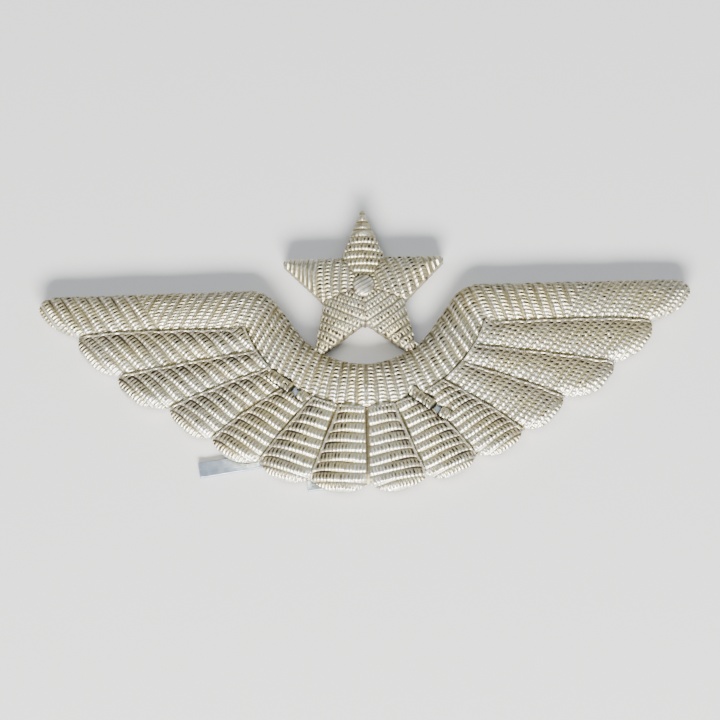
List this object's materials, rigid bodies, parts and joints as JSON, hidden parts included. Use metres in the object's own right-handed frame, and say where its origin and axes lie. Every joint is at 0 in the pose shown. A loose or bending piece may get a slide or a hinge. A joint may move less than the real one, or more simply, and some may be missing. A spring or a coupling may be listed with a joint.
{
  "type": "winged star cap badge",
  "caption": "Gilt stamped cap badge: a star over spread wings with an embroidery-pattern face, held to a cap by folding metal prongs.",
  "frame": {"origin": "middle of the badge's footprint on the surface it lies on, face up, prongs folded flat", "axes": "+X to the right wing, +Y to the star, +Z out of the face"},
  "size_m": [0.07, 0.0312, 0.0029],
  "materials": {
    "gilt_shell": "gold anodised, bright on the ridges and tarnished brown in the grooves",
    "bare_strip": "bare rolled strip, satin, with shear marks at the cut ends"
  },
  "bodies": {
    "badge": {"badge_shell": "gilt_shell", "left_prong_crown": "bare_strip", "right_prong_crown": "bare_strip"},
    "left_outer_leg": {"left_prong_outer_leg": "bare_strip"},
    "left_lower_leg": {"left_prong_lower_leg": "bare_strip"},
    "right_upper_leg": {"right_prong_upper_leg": "bare_strip"},
    "right_outer_leg": {"right_prong_outer_leg": "bare_strip"}
  },
  "joints": [
    {"name": "left_outer_leg_bend", "type": "hinge", "parent": "badge", "child": "left_outer_leg", "pos_m": [-0.00861, -0.00558, 0.0002], "axis": [0.9876, -0.1572, 0], "range_deg": [0, 90]},
    {"name": "left_lower_leg_bend", "type": "hinge", "parent": "badge", "child": "left_lower_leg", "pos_m": [-0.00669, -0.00302, 0.0002], "axis": [0.9962, 0.0866, 0], "range_deg": [0, 90]},
    {"name": "right_upper_leg_bend", "type": "hinge", "parent": "badge", "child": "right_upper_leg", "pos_m": [0.00841, -0.00537, 0.0002], "axis": [-0.7762, 0.6305, 0], "range_deg": [0, 90]},
    {"name": "right_outer_leg_bend", "type": "hinge", "parent": "badge", "child": "right_outer_leg", "pos_m": [0.00649, -0.00793, 0.0002], "axis": [-0.1066, 0.9943, 0], "range_deg": [0, 90]}
  ]
}
